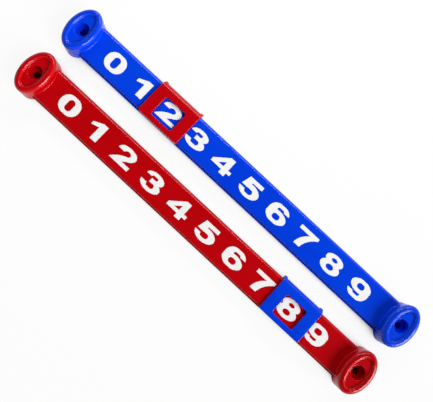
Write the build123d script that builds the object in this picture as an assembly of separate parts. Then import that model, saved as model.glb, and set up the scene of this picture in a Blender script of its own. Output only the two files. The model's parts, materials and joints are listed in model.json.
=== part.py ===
from build123d import *
import math
import os

# A pair of slide score counters for a table game. Millimetres.
# X runs along the counters in reading order, Y towards the tops of the numerals, Z up from the mounting face.
# The origin is under the middle of the pair.

# layout of the pair
pair_spacing = 42.7
pair_stagger = 1.7

# end cups
hole_spacing = 294.0
cup_length = 21.2
cup_width = 33.0
cup_height = 16.0
cup_wall = 2.0
rim_rounding = 2.6
rim_width_across = 3.6
rim_inner_rounding = 0.9
dish_depth = 1.5
dish_margin = 1.05
dish_lean = 0.6
dish_floor_rounding = 0.6
counterbore_diameter = 9.9
counterbore_depth = 4.7
counterbore_rounding = 0.4
screw_hole_diameter = 4.7
post_wall = 2.6
post_roof = 2.2

# strip between the cups
strip_width = 26.4
face_height = 8.4
plate_thickness = 2.2
long_edge_rounding = 3.0
rail_edge_rounding = 0.9
skirt_thickness = 1.8
skirt_depth = 4.0
rail_step = 1.05
groove_height = 1.3
groove_depth = 1.4
web_thickness = 1.4
flange_thickness = 1.5
junction_fillet = 0.5
rib_count = 6
rib_thickness = 1.2
rib_depth = 2.4

# numerals
numeral_height = 13.4
numeral_pitch = 25.35
numeral_thickness = 0.15
first_numeral = 30.0
numeral_drop = 0.2
narrow_one_shift = -1.2
open_three_shift = 0.5

# sliders
slider_length = 35.2
slider_plate = 1.3
slider_face_gap = 0.45
slider_side_gap = 0.3
grip_wall = 1.45
grip_rounding = 4.4
grip_lip_reach = 1.9
grip_lip_thickness = 0.9
corner_rounding = 1.5
slider_edge_rounding = 0.4
ear_length = 2.2
ear_reach = 0.8
ear_height = 3.4
ear_rounding = 0.3
window_length = 18.1
window_width = 16.1
window_drop = 1.3
window_corner = 1.6
window_edge_rounding = 0.3

# where the sliders stand: the numeral in the window, and how far past its middle
red_slider_numeral = 2
red_slider_past = 0.0
blue_slider_numeral = 8
blue_slider_past = 1.5

# heights and edges that several pieces share
plate_under = face_height - plate_thickness
skirt_under = face_height - skirt_depth
flange_top = plate_under - groove_height
flange_under = flange_top - flange_thickness
strip_edge = strip_width / 2
rail_edge = strip_edge - rail_step
web_face = rail_edge - groove_depth
web_back = web_face - web_thickness
skirt_back = strip_edge - skirt_thickness
mouth_length = counterbore_diameter + 2 * (dish_margin + dish_lean)
mouth_width = cup_width - 2 * rim_width_across
dish_floor = cup_height - dish_depth
counterbore_floor = dish_floor - counterbore_depth
slider_under = face_height + slider_face_gap
slider_top = slider_under + slider_plate
grip_inner = strip_edge + slider_side_gap
grip_outer = grip_inner + grip_wall
grip_lip_top = skirt_under - slider_side_gap
grip_lip_under = grip_lip_top - grip_lip_thickness

# numerals are drawn on a grid with this many units from the foot of a figure to its top
grid_height = 20
unit = numeral_height / grid_height
# round figures reach this many units past the flat ones
overshoot = 0.25

# how far an edge may lie from where it is looked for
edge_slack = 0.05

os.makedirs("parts", exist_ok=True)


def oval(length, width):
    return Ellipse(length / 2, width / 2)


def round_corner(start, end, corner):
    """Quarter round from start to end, inside the square corner."""
    share = 1 - math.sqrt(0.5)
    centre = (start[0] + end[0] - corner[0], start[1] + end[1] - corner[1])
    middle = tuple(corner[i] + share * (centre[i] - corner[i]) for i in range(2))
    return ThreePointArc(start, middle, end)


def lies_in(edge, low, high):
    """True when the edge's box is inside the box from low to high, give or take the slack."""
    box = edge.bounding_box()
    above = all(a > b - edge_slack for a, b in zip(box.min, low))
    below = all(a < b + edge_slack for a, b in zip(box.max, high))
    return above and below


# the bar: strip and cups in one moulding

def cup_body():
    body = extrude(oval(cup_length, cup_width), cup_height)
    return fillet(body.faces().sort_by(Axis.Z)[-1].edges(), rim_rounding)


def dish():
    mouth = Pos(Z=cup_height) * oval(mouth_length, mouth_width)
    floor = Pos(Z=dish_floor) * oval(mouth_length - 2 * dish_lean, mouth_width - 2 * dish_lean)
    hollow = loft([floor, mouth])
    return fillet(hollow.edges().sort_by(Axis.Z)[0], dish_floor_rounding)


def core():
    """Hollow under a cup, round the post that the screw goes through."""
    roof = counterbore_floor - post_roof
    hollow = extrude(oval(cup_length - 2 * cup_wall, cup_width - 2 * cup_wall), roof)
    post = extrude(Circle(screw_hole_diameter / 2 + post_wall), roof)
    return hollow - post


def cup_cut():
    counterbore = Pos(Z=counterbore_floor) * extrude(Circle(counterbore_diameter / 2), cup_height)
    screw_hole = extrude(Circle(screw_hole_diameter / 2), cup_height)
    return [dish(), counterbore, screw_hole, core()]


def strip_section():
    """Across the strip: plate, skirt on the numeral-top side, grooved rail on the other."""
    long_edge = (strip_edge, face_height)
    rail_corner = (-rail_edge, face_height)
    face_start = (-rail_edge + rail_edge_rounding, face_height)
    face_end = (strip_edge - long_edge_rounding, face_height)
    side_top = (strip_edge, face_height - long_edge_rounding)
    rail_top = (-rail_edge, face_height - rail_edge_rounding)
    return make_face([
        Line(face_start, face_end),
        round_corner(face_end, side_top, long_edge),
        Polyline(
            side_top,
            (strip_edge, skirt_under),
            (skirt_back, skirt_under),
            (skirt_back, plate_under),
            (-web_back, plate_under),
            (-web_back, flange_under),
            (-strip_edge, flange_under),
            (-strip_edge, flange_top),
            (-web_face, flange_top),
            (-web_face, plate_under),
            (-rail_edge, plate_under),
            rail_top,
        ),
        round_corner(rail_top, face_start, rail_corner),
    ])


def rib():
    width = skirt_back + web_back
    middle = (skirt_back - web_back) / 2
    return Pos(0, middle, plate_under - rib_depth / 2) * Box(rib_thickness, width, rib_depth)


def strip():
    run = extrude(Plane.YZ * strip_section(), hole_spacing / 2, both=True)
    rib_run = hole_spacing - cup_length
    for index in range(rib_count):
        run += Pos(X=((index + 0.5) / rib_count - 0.5) * rib_run) * rib()
    return run


def junction_edges(body):
    """Edges where the top and the sides of the strip meet the walls of the two cups."""
    near = hole_spacing / 2 - cup_length / 2
    far = hole_spacing / 2
    found = []
    for edge in body.edges():
        on_cup = any(
            lies_in(edge, (low, -strip_edge, skirt_under), (high, strip_edge, face_height))
            for low, high in ((near, far), (-far, -near))
        )
        if on_cup and edge.bounding_box().max.Z > plate_under + edge_slack:
            found.append(edge)
    return found


def mouth_edges(body, length, width, height):
    """The closed edges of this size at this height, one in each cup."""
    found = []
    for side in (-1, 1):
        x = side * hole_spacing / 2
        low = (x - length / 2, -width / 2, height)
        high = (x + length / 2, width / 2, height)
        inside = [edge for edge in body.edges() if lies_in(edge, low, high)]
        found.append(max(inside, key=lambda edge: edge.length))
    return found


def bar():
    """One bar, the middle of its foot over the origin."""
    body = strip()
    ends = [Pos(X=-hole_spacing / 2), Pos(X=hole_spacing / 2)]
    for place in ends:
        body += place * cup_body()
    body = fillet(junction_edges(body), junction_fillet)
    for place in ends:
        for cut in cup_cut():
            body -= place * cut
    body = fillet(mouth_edges(body, mouth_length, mouth_width, cup_height), rim_inner_rounding)
    holes = mouth_edges(body, counterbore_diameter, counterbore_diameter, dish_floor)
    return fillet(holes, counterbore_rounding)


# the slider: a window plate that clips round the strip

def slider_section():
    flank_start = (grip_outer - grip_rounding, slider_top)
    flank_end = (grip_outer, slider_top - grip_rounding)
    inner_rounding = long_edge_rounding + slider_side_gap
    bend_start = (grip_inner, slider_under - inner_rounding)
    bend_end = (grip_inner - inner_rounding, slider_under)
    lip_tip = grip_inner - grip_lip_reach
    rail_inner = rail_edge + slider_side_gap
    rail_lip_top = plate_under - slider_side_gap
    rail_lip_under = flange_top + slider_side_gap
    rail_lip_tip = web_face + slider_side_gap
    return make_face([
        Line((-strip_edge, slider_top), flank_start),
        round_corner(flank_start, flank_end, (grip_outer, slider_top)),
        Polyline(
            flank_end,
            (grip_outer, grip_lip_under),
            (lip_tip, grip_lip_under),
            (lip_tip, grip_lip_top),
            (grip_inner, grip_lip_top),
            bend_start,
        ),
        round_corner(bend_start, bend_end, (grip_inner, slider_under)),
        Polyline(
            bend_end,
            (-rail_inner, slider_under),
            (-rail_inner, rail_lip_top),
            (-rail_lip_tip, rail_lip_top),
            (-rail_lip_tip, rail_lip_under),
            (-strip_edge, rail_lip_under),
            (-strip_edge, slider_top),
        ),
    ])


def slider_plan():
    """Seen from above: square at the grip, round at the two corners on the rail side."""
    plan = Pos(Y=(grip_outer - strip_edge) / 2) * Rectangle(slider_length, grip_outer + strip_edge)
    return fillet(plan.vertices().group_by(Axis.Y)[0], corner_rounding)


def window_plan(margin):
    """The window, wider by the margin on every side."""
    return Pos(Y=-window_drop) * Rectangle(window_length + 2 * margin, window_width + 2 * margin)


def rim_edges(body):
    """Outer edges of the top, and the ends of the rounded grip below them."""
    half = slider_length / 2
    window = window_plan(window_edge_rounding).bounding_box()
    found = []
    for edge in body.edges():
        flat_top = lies_in(edge, (-half, -strip_edge, slider_top), (half, grip_outer, slider_top))
        in_window = lies_in(edge, (*tuple(window.min)[:2], slider_top), (*tuple(window.max)[:2], slider_top))
        seam = flat_top and edge.bounding_box().min.Y > grip_outer - grip_rounding - edge_slack
        flank = any(
            lies_in(edge, (x, grip_outer - grip_rounding, grip_lip_under), (x, grip_outer, slider_top))
            and edge.bounding_box().max.Y > grip_outer - edge_slack
            and edge.bounding_box().size.Z > edge_slack
            for x in (-half, half)
        )
        if (flat_top and not in_window and not seam) or flank:
            found.append(edge)
    return found


def window_edges(body):
    window = window_plan(0).bounding_box()
    low = (window.min.X, window.min.Y, slider_top)
    high = (window.max.X, window.max.Y, slider_top)
    return [edge for edge in body.edges() if lies_in(edge, low, high)]


def ear():
    """Small stop for the thumb at one end of the grip, its end face on X = 0."""
    root = grip_outer - grip_wall / 2
    tip = grip_outer + ear_reach
    outline = Polyline(
        (root, grip_lip_under),
        (tip, grip_lip_under),
        (tip, grip_lip_under + ear_height - ear_reach),
        (grip_outer, grip_lip_under + ear_height),
        (root, grip_lip_under + ear_height),
        close=True,
    )
    block = Pos(X=-ear_length) * extrude(Plane.YZ * make_face(outline), ear_length)
    outer = [edge for edge in block.edges() if edge.bounding_box().max.Y > grip_outer + edge_slack]
    return fillet(outer, ear_rounding)


def slider():
    """One slider, its middle over the origin of its bar."""
    body = extrude(Plane.YZ * slider_section(), slider_length / 2, both=True)
    body &= extrude(slider_plan(), slider_top)
    window = fillet(window_plan(0).vertices(), window_corner)
    body -= Pos(Z=slider_under - slider_plate) * extrude(window, slider_top)
    body = fillet(rim_edges(body), slider_edge_rounding)
    body = fillet(window_edges(body), window_edge_rounding)
    right = Pos(X=slider_length / 2) * ear()
    return body + right + mirror(right, Plane.YZ)


# the numerals, drawn in grid units about the middle of the figure

def point(x, y):
    return (x * unit, y * unit)


def pad(x, y, radius):
    """Rounded box from the first to the second x and y."""
    shape = RectangleRounded((x[1] - x[0]) * unit, (y[1] - y[0]) * unit, radius * unit)
    return Pos(*point(sum(x) / 2, sum(y) / 2)) * shape


def block(x, y):
    return Pos(*point(sum(x) / 2, sum(y) / 2)) * Rectangle((x[1] - x[0]) * unit, (y[1] - y[0]) * unit)


def bowl(x, y):
    """Ellipse from the first to the second x and y."""
    shape = Ellipse((x[1] - x[0]) / 2 * unit, (y[1] - y[0]) / 2 * unit)
    return Pos(*point(sum(x) / 2, sum(y) / 2)) * shape


def patch(*points):
    return make_face(Polyline(*[point(x, y) for x, y in points], close=True))


def bend(start, middle, end):
    return ThreePointArc(point(*start), point(*middle), point(*end))


def run(*points):
    return Polyline(*[point(x, y) for x, y in points])


round_top = grid_height / 2 + overshoot
flat_top = grid_height / 2


def figure_zero():
    return pad((-11.8, 11.8), (-round_top, round_top), 9.5) - pad((-3.9, 3.9), (-6.4, 6.4), 3.8)


def figure_one():
    return patch(
        (0.7, -flat_top), (8.3, -flat_top), (8.3, flat_top), (2.5, flat_top),
        (-8.1, 5.1), (-8.1, 1.6), (0.7, 4.1),
    )


def figure_two():
    return make_face([
        run((-12.3, -9.6), (-12.3, -flat_top), (11.9, -flat_top), (11.9, -5.9), (1.2, -5.9), (5.6, -2.4)),
        bend((5.6, -2.4), (10.3, 0.8), (11.9, 4.6)),
        bend((11.9, 4.6), (10.2, 7.4), (6, 9.5)),
        bend((6, 9.5), (0.4, round_top), (-5.2, 9.5)),
        bend((-5.2, 9.5), (-9.1, 7.8), (-11.2, 4.7)),
        run((-11.2, 4.7), (-11, 3.7), (-3.6, 3.6)),
        bend((-3.6, 3.6), (0.6, 6.4), (4.7, 4.6)),
        bend((4.7, 4.6), (4.6, 2.8), (2.8, 1.3)),
        bend((2.8, 1.3), (-6.2, -3.5), (-12.3, -9.6)),
    ])


def figure_three():
    bowls = bowl((-11.2, 10.6), (-1, round_top)) + bowl((-11.9, 12), (-round_top, 2.3))
    eyes = pad((-4.7, 3.1), (3.2, 6.4), 1.5) + pad((-4.9, 4.4), (-6.4, -1.2), 2.5)
    gap = block((-14, -3.3), (-3.5, 4.5))
    return bowls - eyes - gap


def figure_four():
    outline = patch(
        (1.6, -flat_top), (8.3, -flat_top), (8.3, -5.8), (12.7, -5.8), (12.7, -2.1), (8.3, -2.1),
        (8.3, flat_top), (2.3, flat_top), (-12.6, -2.2), (-12.6, -5.8), (1.6, -5.8),
    )
    return outline - patch((1.6, 3.5), (-5.1, -2.1), (1.6, -2.1))


def figure_five():
    round_part = bowl((-12.2, 12.1), (-round_top, 4.4)) - pad((-5.1, 4.3), (-6.4, -0.7), 2.8)
    round_part -= block((-14, -3.6), (-3.6, 5))
    arm = patch(
        (-8.2, flat_top), (10.2, flat_top), (10.2, 5.8), (-1.9, 5.8),
        (-2.4, 3.9), (-3.6, 2), (-3.6, -1), (-11.1, -1),
    )
    return round_part + arm


def figure_six():
    whole = pad((-12.3, 12.2), (-round_top, round_top), 9.5)
    gap = pad((-3.8, 4.4), (0, 6.4), 2) + block((-3.8, 14), (-1, 4.7)) + block((11, 14), (-3.3, round_top))
    round_part = bowl((-12.3, 12.3), (-round_top, 3.6))
    eye = pad((-4.2, 4.6), (-6.5, -0.4), 3)
    return whole - gap + round_part - eye


def figure_seven():
    return make_face([
        run((-7, -flat_top), (0.6, -flat_top)),
        bend((0.6, -flat_top), (4.3, -0.2), (12, 7.1)),
        run((12, 7.1), (12, flat_top), (-12, flat_top), (-12, 5.8), (2.6, 5.8)),
        bend((2.6, 5.8), (-4.1, -1), (-7, -flat_top)),
    ])


def figure_eight():
    bowls = bowl((-10.8, 10.8), (-1.4, round_top)) + bowl((-11.9, 12), (-round_top, 2.8))
    eyes = bowl((-3.6, 3.6), (2.7, 6.7)) + bowl((-4.4, 4.5), (-6.7, -0.9))
    return bowls - eyes


def figure_nine():
    return Rot(Z=180) * figure_six()


figures = [
    figure_zero, figure_one, figure_two, figure_three, figure_four,
    figure_five, figure_six, figure_seven, figure_eight, figure_nine,
]
shifts = {1: narrow_one_shift, 3: open_three_shift}


def numeral_place(value):
    return first_numeral - hole_spacing / 2 + value * numeral_pitch


def numeral(value):
    """One figure, a thin solid that lies on the face of its bar."""
    plate = extrude(figures[value](), numeral_thickness)
    return Pos(numeral_place(value) + shifts.get(value, 0), -numeral_drop, face_height) * plate


# the pair, each counter with the other one's colour for its slider

red_place = Pos(-pair_stagger / 2, -pair_spacing / 2, 0)
blue_place = Pos(pair_stagger / 2, pair_spacing / 2, 0)
red_slider_place = blue_place * Pos(X=numeral_place(red_slider_numeral) + red_slider_past)
blue_slider_place = red_place * Pos(X=numeral_place(blue_slider_numeral) + blue_slider_past)

whole_bar = bar()
whole_slider = slider()
pieces = {
    "red_bar": red_place * whole_bar,
    "blue_bar": blue_place * whole_bar,
    "red_slider": red_slider_place * whole_slider,
    "blue_slider": blue_slider_place * whole_slider,
}
for value in range(len(figures)):
    pieces[f"red_numeral_{value}"] = red_place * numeral(value)
    pieces[f"blue_numeral_{value}"] = blue_place * numeral(value)

for name, piece in pieces.items():
    export_step(piece, f"parts/{name}.step")
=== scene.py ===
import bpy
import json
import math
from mathutils import Matrix, Vector

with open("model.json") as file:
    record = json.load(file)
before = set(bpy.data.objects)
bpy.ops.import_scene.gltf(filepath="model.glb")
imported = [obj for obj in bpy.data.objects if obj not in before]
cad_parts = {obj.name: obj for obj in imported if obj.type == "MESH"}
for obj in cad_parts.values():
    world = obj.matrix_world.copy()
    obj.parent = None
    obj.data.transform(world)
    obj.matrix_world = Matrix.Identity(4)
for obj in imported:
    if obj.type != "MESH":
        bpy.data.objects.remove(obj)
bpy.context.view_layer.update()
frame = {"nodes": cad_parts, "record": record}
nodes = frame["nodes"]
print("frame loaded,", len(nodes), "nodes")


# shader maths: a Value is a socket that works in expressions

class Value:
    def __init__(self, shader, socket):
        self.shader = shader
        self.socket = socket

    def maths(self, operation, *numbers):
        inputs = dict(enumerate(numbers))
        return self.shader.add("ShaderNodeMath", {"operation": operation}, inputs)["Value"]

    def __add__(self, other):
        return self.maths("ADD", self, other)

    def __sub__(self, other):
        return self.maths("SUBTRACT", self, other)

    def __rsub__(self, other):
        return self.maths("SUBTRACT", other, self)

    def __mul__(self, other):
        return self.maths("MULTIPLY", self, other)

    __radd__ = __add__
    __rmul__ = __mul__

    def between(self, low, high):  # 0 below low, 1 above high, smooth in between
        settings = {"interpolation_type": "SMOOTHSTEP"}
        inputs = {"Value": self, "From Min": low, "From Max": high}
        return self.shader.add("ShaderNodeMapRange", settings, inputs)["Result"]


class Outputs(dict):
    # a node's outputs, each a Value, under its name and its identifier
    def __init__(self, shader, node):
        for socket in node.outputs:
            self[socket.name] = self[socket.identifier] = Value(shader, socket)


class Shader:
    def __init__(self, owner):
        self.tree = owner.node_tree
        self.tree.nodes.clear()

    def add(self, kind, settings={}, inputs={}):
        node = self.tree.nodes.new(kind)
        for name, setting in settings.items():
            setattr(node, name, setting)
        for name, value in inputs.items():
            if isinstance(value, Value):
                self.tree.links.new(value.socket, node.inputs[name])
            else:
                node.inputs[name].default_value = value
        return Outputs(self, node)

    def mixColour(self, share, first, second):
        inputs = {0: share, 6: (*first, 1), 7: (*second, 1)}  # sockets of the colour mix
        return self.add("ShaderNodeMix", {"data_type": "RGBA"}, inputs)["Result_Color"]

    def noise(self, place, scale, detail, distortion=0.0):
        inputs = {"Vector": place, "Scale": scale, "Detail": detail, "Distortion": distortion}
        return self.add("ShaderNodeTexNoise", {}, inputs)["Fac"]

    def mapped(self, place, scale=(1, 1, 1), location=(0, 0, 0)):
        inputs = {"Vector": place, "Scale": scale, "Location": location}
        return self.add("ShaderNodeMapping", {}, inputs)["Vector"]


def newMaterial(name):
    material = bpy.data.materials.new(name)
    material.use_nodes = True
    return material, Shader(material)


def linear(*colour):  # screen values of 0 to 255 to linear light, by the sRGB curve
    return tuple(((c / 255 + 0.055) / 1.055) ** 2.4 if c > 10 else c / 255 / 12.92 for c in colour)


# moulded plastic: flow marks, a fine skin, hairline scratches along the bars

plastic = {  # a seed is how far the noise is moved, in metres
    "red": {"deep": linear(183, 1, 8), "bright": linear(190, 2, 13), "seed": 0.0},
    "blue": {"deep": linear(1, 58, 218), "bright": linear(2, 65, 226), "seed": 4.0},
    "flowSize": 38,  # sizes in cells a metre
    "flowStretch": (0.35, 1, 1),  # longer along the bars
    "flowDetail": 3,
    "flowDistortion": 0.6,
    "flowRange": (0.3, 0.7),  # of the noise, all deep to all bright
    "skinSize": 900,
    "grainSize": 5200,
    "fineDetail": 1,  # of skin and grain
    "scratchSize": (90, 5200, 2400),
    "scratchDetail": 2,
    "scratchRange": (0.66, 0.74),  # only the noise's crests become hairlines
    "roughness": 0.17,
    "roughnessSpread": 0.05,
    "scratchRoughness": 0.06,
    "refraction": 1.36,
    "gloss": 0.4,  # at 0.5 the mirroring is what the refraction alone gives
    "coat": 0.08,
    "coatRoughness": 0.06,
    "skinHeight": 0.000005,  # heights in metres
    "grainHeight": 0.0000015,
}


def makePlastic(colour):
    material, shader = newMaterial(colour + "MouldedPlastic")
    look = plastic[colour]
    place = shader.add("ShaderNodeTexCoord")["Object"]
    place = shader.mapped(place, location=(look["seed"], look["seed"], 0))
    along = shader.mapped(place, scale=plastic["flowStretch"])
    flow = shader.noise(along, plastic["flowSize"], plastic["flowDetail"], plastic["flowDistortion"])
    skin = shader.noise(place, plastic["skinSize"], plastic["fineDetail"])
    grain = shader.noise(place, plastic["grainSize"], plastic["fineDetail"])
    stretched = shader.mapped(place, scale=plastic["scratchSize"])
    scratches = shader.noise(stretched, 1.0, plastic["scratchDetail"])
    hairlines = scratches.between(*plastic["scratchRange"])
    base = shader.mixColour(flow.between(*plastic["flowRange"]), look["deep"], look["bright"])
    roughness = plastic["roughness"] + plastic["roughnessSpread"] * (flow - 0.5)
    roughness = roughness + plastic["scratchRoughness"] * hairlines
    height = skin * plastic["skinHeight"] + grain * plastic["grainHeight"]
    bump = shader.add("ShaderNodeBump", {}, {"Height": height, "Distance": 1.0, "Strength": 1.0})
    surface = shader.add("ShaderNodeBsdfPrincipled", {}, {
        "Base Color": base,
        "Roughness": roughness,
        "IOR": plastic["refraction"],
        "Specular IOR Level": plastic["gloss"],
        "Coat Weight": plastic["coat"],
        "Coat Roughness": plastic["coatRoughness"],
        "Normal": bump["Normal"],
    })
    shader.add("ShaderNodeOutputMaterial", {}, {"Surface": surface["BSDF"]})
    return material


# printed figures: opaque white with a dry, slightly uneven skin

printInk = {
    "fresh": linear(248, 248, 247),
    "thin": linear(241, 240, 239),
    "patchSize": 260,  # sizes in cells a metre
    "patchDetail": 3,
    "patchRange": (0.45, 0.75),  # of the noise, fresh to thin
    "patchShare": 0.6,
    "pinholeSize": 3400,
    "pinholeDetail": 1,
    "pinholeRange": (0.68, 0.8),
    "pinholeShare": 0.4,
    "roughness": 0.42,
    "roughnessSpread": 0.1,
    "refraction": 1.48,
    "skinHeight": 0.000006,  # metres
}


def makeInk():
    material, shader = newMaterial("whitePrint")
    place = shader.add("ShaderNodeTexCoord")["Object"]
    patches = shader.noise(place, printInk["patchSize"], printInk["patchDetail"])
    pinholes = shader.noise(place, printInk["pinholeSize"], printInk["pinholeDetail"])
    thinPatches = patches.between(*printInk["patchRange"]) * printInk["patchShare"]
    thinPinholes = pinholes.between(*printInk["pinholeRange"]) * printInk["pinholeShare"]
    base = shader.mixColour(thinPatches + thinPinholes, printInk["fresh"], printInk["thin"])
    height = pinholes * printInk["skinHeight"]
    bump = shader.add("ShaderNodeBump", {}, {"Height": height, "Distance": 1.0, "Strength": 1.0})
    surface = shader.add("ShaderNodeBsdfPrincipled", {}, {
        "Base Color": base,
        "Roughness": printInk["roughness"] + printInk["roughnessSpread"] * (patches - 0.5),
        "IOR": printInk["refraction"],
        "Normal": bump["Normal"],
    })
    shader.add("ShaderNodeOutputMaterial", {}, {"Surface": surface["BSDF"]})
    return material


finishes = {
    "red_plastic": makePlastic("red"),
    "blue_plastic": makePlastic("blue"),
    "white_print": makeInk(),
}
for part in frame["record"]["subparts"]:
    mesh = nodes[part["node"]].data
    mesh.materials.clear()
    mesh.materials.append(finishes[part["material_slot"]])
print("materials set")


# floor: near white to the eye, and it still takes the object's shadow

floorLook = {
    "halfSize": 6.0,  # metres
    "colour": linear(244, 244, 244),
    "glow": 0.9,  # share of plain white, seen or mirrored
    "shadeReach": 0.03,  # metres, how near the object takes the glow away
    "shadeOpen": (0.2, 0.65),  # share of open sky with no glow, and with all of it
    "mirroredOpen": (0.55, 1.0),  # the same in reflections
}


def makeFloor():
    half = floorLook["halfSize"]
    mesh = bpy.data.meshes.new("floor")
    corners = [(-half, -half, 0), (half, -half, 0), (half, half, 0), (-half, half, 0)]
    mesh.from_pydata(corners, [], [(0, 1, 2, 3)])
    floor = bpy.data.objects.new("floor", mesh)
    bpy.context.scene.collection.objects.link(floor)
    material, shader = newMaterial("paleFloor")
    rays = shader.add("ShaderNodeLightPath")
    mirrored = rays["Is Glossy Ray"] + rays["Is Transmission Ray"]
    matt = shader.add("ShaderNodeBsdfDiffuse", {}, {"Color": (*floorLook["colour"], 1)})
    white = shader.add("ShaderNodeEmission", {}, {"Color": (1, 1, 1, 1), "Strength": 1.0})
    sky = shader.add("ShaderNodeAmbientOcclusion", {}, {"Distance": floorLook["shadeReach"]})["AO"]
    seen = rays["Is Camera Ray"] * sky.between(*floorLook["shadeOpen"])
    glow = (seen + mirrored * sky.between(*floorLook["mirroredOpen"])) * floorLook["glow"]
    mixed = shader.add("ShaderNodeMixShader", {}, {0: glow, 1: matt["BSDF"], 2: white["Emission"]})
    shader.add("ShaderNodeOutputMaterial", {}, {"Surface": mixed["Shader"]})
    mesh.materials.append(material)


makeFloor()


# studio: a backdrop seen and mirrored as white, a dim sky that gets darker upwards, two soft boxes

studio = {
    "heights": (0.12, 0.5, 0.85),  # of the direction, 0 level and 1 straight up
    "strengths": (0.5, 0.25, 0.03),  # of the sky as a light, at those heights
    "backdropTop": (0.35, 0.6),  # where the white backdrop fades, seen or mirrored
}
softBoxes = {  # in metres, aimed at the middle of the frame
    "pastNine": {"place": (8.0, 0.0, 5.2), "size": (4.8, 4.8), "watts": 976},
    "overTops": {"place": (-0.15, 0.5, 0.36), "size": (0.7, 0.12), "watts": 2.4},
}


def makeWorld():
    world = bpy.data.worlds.new("studio")
    world.use_nodes = True
    bpy.context.scene.world = world
    shader = Shader(world)
    direction = shader.add("ShaderNodeTexCoord")["Generated"]
    height = shader.add("ShaderNodeSeparateXYZ", {}, {"Vector": direction})["Z"]
    low, middle, high = studio["heights"]
    horizon, wall, ceiling = studio["strengths"]
    light = horizon + (wall - horizon) * height.between(low, middle)
    light = light + (ceiling - wall) * height.between(middle, high)
    rays = shader.add("ShaderNodeLightPath")
    seen = rays["Is Camera Ray"] + rays["Is Glossy Ray"] + rays["Is Transmission Ray"]
    backdrop = seen * (1 - height.between(*studio["backdropTop"]))
    strength = light + (1 - light) * backdrop
    sky = shader.add("ShaderNodeBackground", {}, {"Color": (1, 1, 1, 1), "Strength": strength})
    shader.add("ShaderNodeOutputWorld", {}, {"Surface": sky["Background"]})


def makeSoftBox(name, box):
    lamp = bpy.data.lights.new(name, "AREA")
    lamp.shape = "RECTANGLE"
    lamp.size, lamp.size_y = box["size"]
    lamp.energy = box["watts"]
    holder = bpy.data.objects.new(name, lamp)
    bpy.context.scene.collection.objects.link(holder)
    holder.location = box["place"]
    holder.rotation_euler = (-Vector(box["place"])).to_track_quat("-Z", "Y").to_euler()


makeWorld()
for name, box in softBoxes.items():
    makeSoftBox(name, box)
print("studio lit")


# camera: over the table, turned so that the bars run from corner to corner

cameraLook = {
    "place": (-0.00211, -0.0345, 0.3179),  # metres
    "roll": -42.93,  # degrees
    "tilt": -4.85,
    "lens": 37.9,  # millimetres
    "shift": (0.0196, 0.015),
    "nearest": 0.01,  # metres, nothing closer is drawn
}


def makeCamera():
    data = bpy.data.cameras.new("camera")
    data.lens = cameraLook["lens"]
    data.shift_x, data.shift_y = cameraLook["shift"]
    data.clip_start = cameraLook["nearest"]
    camera = bpy.data.objects.new("camera", data)
    bpy.context.scene.collection.objects.link(camera)
    roll = Matrix.Rotation(math.radians(cameraLook["roll"]), 4, "Z")
    tilt = Matrix.Rotation(math.radians(cameraLook["tilt"]), 4, "X")
    camera.matrix_world = Matrix.Translation(cameraLook["place"]) @ (roll @ tilt).transposed()
    bpy.context.scene.camera = camera


makeCamera()
bpy.context.scene.view_settings.view_transform = "Standard"
print("camera set")
